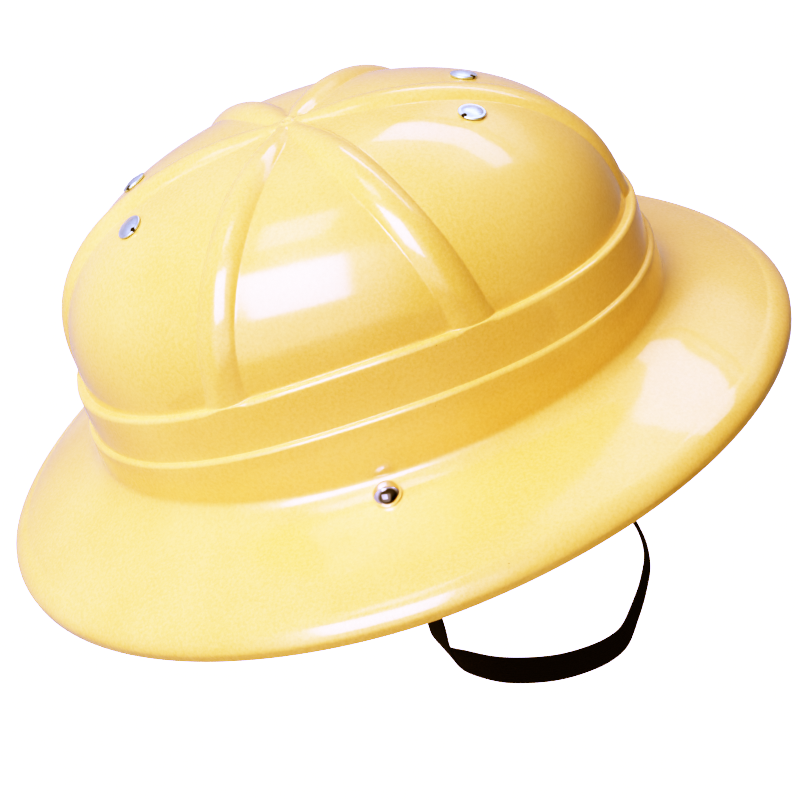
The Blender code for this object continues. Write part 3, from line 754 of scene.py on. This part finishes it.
def softbox(name, azimuth, elevation, wide, high, radiance, distance=2.0):
    """A softbox that covers wide by high degrees as the helmet sees it. The tent's panes are what the gloss mirrors."""
    az, el = math.radians(azimuth), math.radians(elevation)
    place = distance * Vector((math.cos(az) * math.cos(el), math.sin(az) * math.cos(el), math.sin(el)))
    light = bpy.data.lights.new(name, "AREA")
    light.shape = "RECTANGLE"
    light.size, light.size_y = (2 * distance * math.tan(math.radians(angle) / 2) for angle in (wide, high))
    light.energy = radiance * PI * light.size * light.size_y
    obj = bpy.data.objects.new(name, light)
    bpy.context.scene.collection.objects.link(obj)
    obj.location = place
    obj.rotation_mode = "QUATERNION"
    obj.rotation_quaternion = (Vector((0, 0, 0.03)) - place).to_track_quat("-Z", "Y")
    obj.visible_camera = obj.visible_glossy = False
    return obj


def build_floor():
    size = 8.0
    obj = new_object("floor", [(-size, -size, FLOOR_Z), (size, -size, FLOOR_Z), (size, size, FLOOR_Z), (-size, size, FLOOR_Z)],
                     [(0, 1, 2, 3)], floor_material(), False)
    obj.visible_glossy = obj.visible_diffuse = False


class Tent:
    """The tent round the helmet as its gloss sees it: soft walls with panes of light, each set by azimuth and elevation."""

    def __init__(self, world):
        self.tree = world.node_tree
        self.at = self.tree.nodes.new("ShaderNodeTexCoord").outputs["Generated"]
        self.total = None

    def node(self, kind, operation=None, *inputs):
        made = self.tree.nodes.new(kind)
        if operation:
            made.operation = operation
        for socket, value in zip(made.inputs, inputs):
            if isinstance(value, bpy.types.NodeSocket):
                self.tree.links.new(value, socket)
            elif value is not None:
                socket.default_value = value
        return made

    def math(self, operation, *inputs):
        return self.node("ShaderNodeMath", operation, *inputs).outputs[0]

    def dot(self, vector):
        return self.node("ShaderNodeVectorMath", "DOT_PRODUCT", self.at, vector).outputs["Value"]

    def fade(self, value, low, high, to_low=0.0, to_high=1.0):
        made = self.node("ShaderNodeMapRange", None, value, low, high, to_low, to_high)
        made.interpolation_type = "SMOOTHSTEP"
        return made.outputs["Result"]

    def add(self, light):
        self.total = light if self.total is None else self.math("ADD", self.total, light)

    def wall(self, toward, low, high, dark, bright):
        """Brightness that rises with the direction's share along toward, from dark at low to bright at high."""
        self.add(self.fade(self.dot(toward), low, high, dark, bright))

    def pane(self, azimuth, elevation, wide, high, radiance, edge, turn=0.0, wobble=0.0, skew=0.0):
        """A pane of light wide by high degrees, its edges fading over edge degrees and wandering by wobble degrees."""
        az, el = math.radians(azimuth), math.radians(elevation)
        ahead = Vector((math.cos(az) * math.cos(el), math.sin(az) * math.cos(el), math.sin(el)))
        side = Vector((-math.sin(az), math.cos(az), 0.0))
        up = ahead.cross(side)
        turn = math.radians(turn)
        side, up = math.cos(turn) * side + math.sin(turn) * up, math.cos(turn) * up - math.sin(turn) * side
        depth = self.math("MAXIMUM", self.dot(ahead), 0.02)
        across = self.math("DIVIDE", self.dot(side), depth)
        along = self.math("DIVIDE", self.dot(up), depth)
        if skew:
            across = self.math("SUBTRACT", across, self.math("MULTIPLY", along, skew))
        if wobble:
            noise = self.node("ShaderNodeTexNoise")
            noise.inputs["Scale"].default_value = 7.0
            self.tree.links.new(self.at, noise.inputs["Vector"])
            away = self.math("MULTIPLY", self.math("SUBTRACT", noise.outputs["Fac"], 0.5), 4 * math.radians(wobble))
            across, along = self.math("ADD", across, away), self.math("ADD", along, away)
        light = radiance
        for value, size in ((across, wide), (along, high)):
            half, soft = math.tan(math.radians(size / 2)), math.radians(edge) / 2
            light = self.math("MULTIPLY", self.fade(self.math("ABSOLUTE", value), half - soft, half + soft, 1.0, 0.0), light)
        self.add(light)


def build_world():
    world = bpy.data.worlds.new("studio")
    bpy.context.scene.world = world
    world.use_nodes = True
    world.cycles_visibility.diffuse = False
    tent = Tent(world)
    tent.wall((-0.66, -0.66, 0.36), -0.9, 0.6, 0.05, 0.60)
    tent.wall((0.0, 0.0, 1.0), 0.2, 0.95, 0.0, 0.50)
    tent.pane(-22, 45, 34, 38, 12.0, 7, skew=-0.25)
    tent.pane(-16, 30, 66, 74, 3.0, 28)
    tent.pane(142, 46.0, 46, 8.8, 4.6, 1.0, wobble=1.0)
    tent.pane(146, 40.9, 44, 1.3, -1.6, 0.4)
    tent.pane(146, 38.6, 44, 1.3, -1.6, 0.6)
    tent.pane(140, 44, 46, 34, 1.0, 8)
    tent.pane(-108, 80, 16, 18, 4.0, 4)
    back = world.node_tree.nodes["Background"]
    back.inputs["Color"].default_value = (1, 1, 1, 1)
    # past the floor's edge the view meets the same pale tone as the floor, not the tent
    seen = tent.node("ShaderNodeLightPath").outputs["Is Camera Ray"]
    strength = tent.math("ADD", tent.math("MULTIPLY", tent.total, tent.math("SUBTRACT", 1.0, seen)), tent.math("MULTIPLY", seen, FLOOR_GLOW + 0.5))
    world.node_tree.links.new(strength, back.inputs["Strength"])


def build_camera():
    az, el, roll = math.radians(7.1575), math.radians(28.4135), math.radians(-20.9092)
    back = Vector((math.cos(az) * math.cos(el), math.sin(az) * math.cos(el), math.sin(el)))
    right0 = Vector((-math.sin(az), math.cos(az), 0.0))
    up0 = back.cross(right0)
    right = math.cos(roll) * right0 + math.sin(roll) * up0
    up = -math.sin(roll) * right0 + math.cos(roll) * up0
    data = bpy.data.cameras.new("camera")
    data.sensor_width = 36.0
    data.lens = 101.25
    data.shift_x, data.shift_y = 0.0293, -0.0629
    data.clip_start, data.clip_end = 0.01, 50.0
    obj = bpy.data.objects.new("camera", data)
    bpy.context.scene.collection.objects.link(obj)
    obj.matrix_world = Matrix.Translation(back * 0.9) @ Matrix((right, up, back)).transposed().to_4x4()
    bpy.context.scene.camera = obj


def build_lights():
    softbox("key", -30, 60, 37, 35, 10.0)
    softbox("side", -90, 20, 42, 30, 5.1)
    softbox("top", 0, 88, 40, 40, 4.5)
    softbox("back", 80, 40, 37, 35, 1.2)
    softbox("far", 150, 20, 42, 30, 1.2)
    softbox("front", 0, 25, 42, 30, 0.6)
    softbox("under", 0, -35, 60, 60, 3.6)


def film_curves(view):
    """Strong shoulder, so that the bright plastic turns pale and the shaded plastic stays deep in colour."""
    view.use_curve_mapping = True
    mapping = view.curve_mapping
    mapping.white_level = (FILM_TOP, FILM_TOP, FILM_TOP)
    for curve, (half, power) in zip(mapping.curves, FILM):
        full = 1 - math.exp(-((FILM_TOP / half) ** power))
        for x in (0.012, 0.025, 0.04, 0.06, 0.085, 0.115, 0.15, 0.2, 0.26, 0.34, 0.45, 0.6, 0.8):
            curve.points.new(x, (1 - math.exp(-((x * FILM_TOP / half) ** power))) / full)
    mapping.update()


plastic = plastic_material()
points, faces, inside = build_shell_mesh()
shell = new_object("helmet_shell", points, faces, plastic)
mark = shell.data.attributes.new("inside", "FLOAT", "POINT")
mark.data.foreach_set("value", inside)
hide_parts("shell")
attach(shell, "root")
build_studs()
build_rivets(chrome_material(),
             metal_material("washer_steel_fine", (0.55, 0.55, 0.57), 0.28, 0.42, 700.0, 0.2))
build_strap(elastic_material())
build_floor()
build_world()
build_lights()
build_camera()
scene = bpy.context.scene
scene.view_settings.view_transform = "Standard"
scene.view_settings.look = "None"
film_curves(scene.view_settings)
